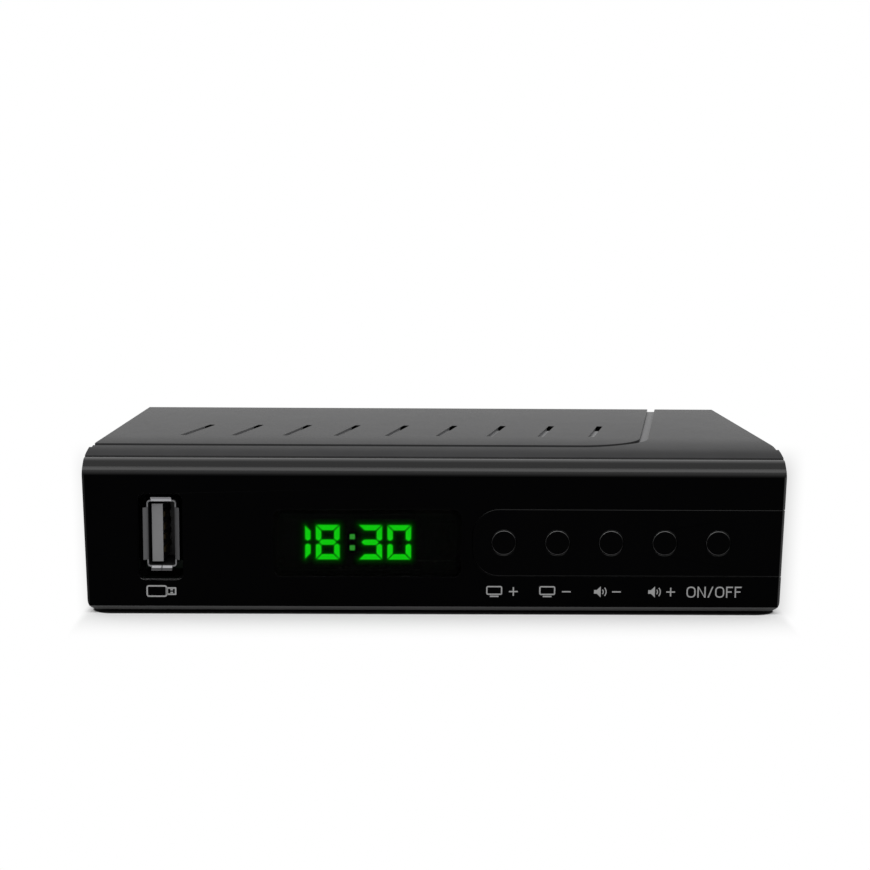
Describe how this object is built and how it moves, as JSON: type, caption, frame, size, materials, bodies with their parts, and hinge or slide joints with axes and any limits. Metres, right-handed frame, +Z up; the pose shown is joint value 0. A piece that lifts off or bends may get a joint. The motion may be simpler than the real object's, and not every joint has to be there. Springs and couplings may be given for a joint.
{
  "type": "cable tv receiver",
  "caption": "Low black set-top box with a glossy front, green clock display, row of push buttons, upright USB socket, slotted top and rear aerial, video and power sockets.",
  "frame": {"origin": "on the floor under the middle of the whole object, rear sockets included", "axes": "+X to the right as seen from the front, +Y from the front to the back, +Z up"},
  "size_m": [0.135, 0.0844, 0.0317],
  "materials": {
    "case_plastic": "fine satin moulded black",
    "gloss_plastic": "polished black",
    "smoked_window": "dark smoked acrylic, polished",
    "foot_rubber": "soft matt black",
    "screw_steel": "zinc plated",
    "switch_plastic": "plain black",
    "board_laminate": "green solder mask",
    "display_black": "dull black",
    "lit_segment": "glowing green",
    "dark_segment": "unlit, almost black",
    "socket_plastic": "ivory",
    "ribbon_vinyl": "plain grey",
    "socket_steel": "tinned sheet",
    "tongue_plastic": "light grey",
    "gilt_contact": "gold flash",
    "chip_resin": "dull moulded black",
    "thermal_pad": "soft blue grey",
    "sink_aluminium": "extruded",
    "can_sleeve": "shrunk dark sleeve",
    "ferrite": "dull dark grey",
    "nickel": "bright nickel",
    "jack_plastic": "plain black"
  },
  "bodies": {
    "receiver": {"top_cover": "case_plastic", "bottom_tray": "case_plastic", "rear_panel": "case_plastic", "front_panel": "gloss_plastic", "button_strip": "gloss_plastic", "display_window": "smoked_window", "rubber_feet": "foot_rubber", "case_screws": "screw_steel", "front_board_screws": "screw_steel", "main_board_screws": "screw_steel", "channel_up_switch": "switch_plastic", "channel_down_switch": "switch_plastic", "volume_down_switch": "switch_plastic", "volume_up_switch": "switch_plastic", "power_switch": "switch_plastic", "front_board": "board_laminate", "main_board": "board_laminate", "display_housing": "display_black", "ir_receiver": "display_black", "lit_segments": "lit_segment", "dark_segments": "dark_segment", "front_socket": "socket_plastic", "main_socket": "socket_plastic", "rf_in_insulator": "socket_plastic", "rf_out_insulator": "socket_plastic", "link_ribbon": "ribbon_vinyl", "usb_shell": "socket_steel", "hdmi_shell": "socket_steel", "tuner_frame": "socket_steel", "tuner_lid": "socket_steel", "crystal": "socket_steel", "usb_tongue": "tongue_plastic", "usb_contacts": "gilt_contact", "rf_in_contact": "gilt_contact", "rf_out_pin": "gilt_contact", "decoder_chip": "chip_resin", "memory_chip": "chip_resin", "flash_chip": "chip_resin", "regulators": "chip_resin", "thermal_pad": "thermal_pad", "heatsink": "sink_aluminium", "capacitors": "can_sleeve", "inductors": "ferrite", "rf_in_sleeve": "nickel", "rf_out_sleeve": "nickel", "dc_pin": "nickel", "hdmi_tongue": "jack_plastic", "av_jack": "jack_plastic", "dc_jack": "jack_plastic"},
    "channel_up_key": {"channel_up_button": "gloss_plastic", "channel_up_plunger": "switch_plastic"},
    "channel_down_key": {"channel_down_button": "gloss_plastic", "channel_down_plunger": "switch_plastic"},
    "volume_down_key": {"volume_down_button": "gloss_plastic", "volume_down_plunger": "switch_plastic"},
    "volume_up_key": {"volume_up_button": "gloss_plastic", "volume_up_plunger": "switch_plastic"},
    "power_key": {"power_button": "gloss_plastic", "power_plunger": "switch_plastic"}
  },
  "joints": [
    {"name": "channel_up_press", "type": "slide", "parent": "receiver", "child": "channel_up_key", "axis": [0, 1, 0], "range_m": [0, 0.0003], "stiffness_N_per_m": 2000, "springref_m": -0.0003},
    {"name": "channel_down_press", "type": "slide", "parent": "receiver", "child": "channel_down_key", "axis": [0, 1, 0], "range_m": [0, 0.0003], "stiffness_N_per_m": 2000, "springref_m": -0.0003},
    {"name": "volume_down_press", "type": "slide", "parent": "receiver", "child": "volume_down_key", "axis": [0, 1, 0], "range_m": [0, 0.0003], "stiffness_N_per_m": 2000, "springref_m": -0.0003},
    {"name": "volume_up_press", "type": "slide", "parent": "receiver", "child": "volume_up_key", "axis": [0, 1, 0], "range_m": [0, 0.0003], "stiffness_N_per_m": 2000, "springref_m": -0.0003},
    {"name": "power_press", "type": "slide", "parent": "receiver", "child": "power_key", "axis": [0, 1, 0], "range_m": [0, 0.0003], "stiffness_N_per_m": 2000, "springref_m": -0.0003}
  ]
}
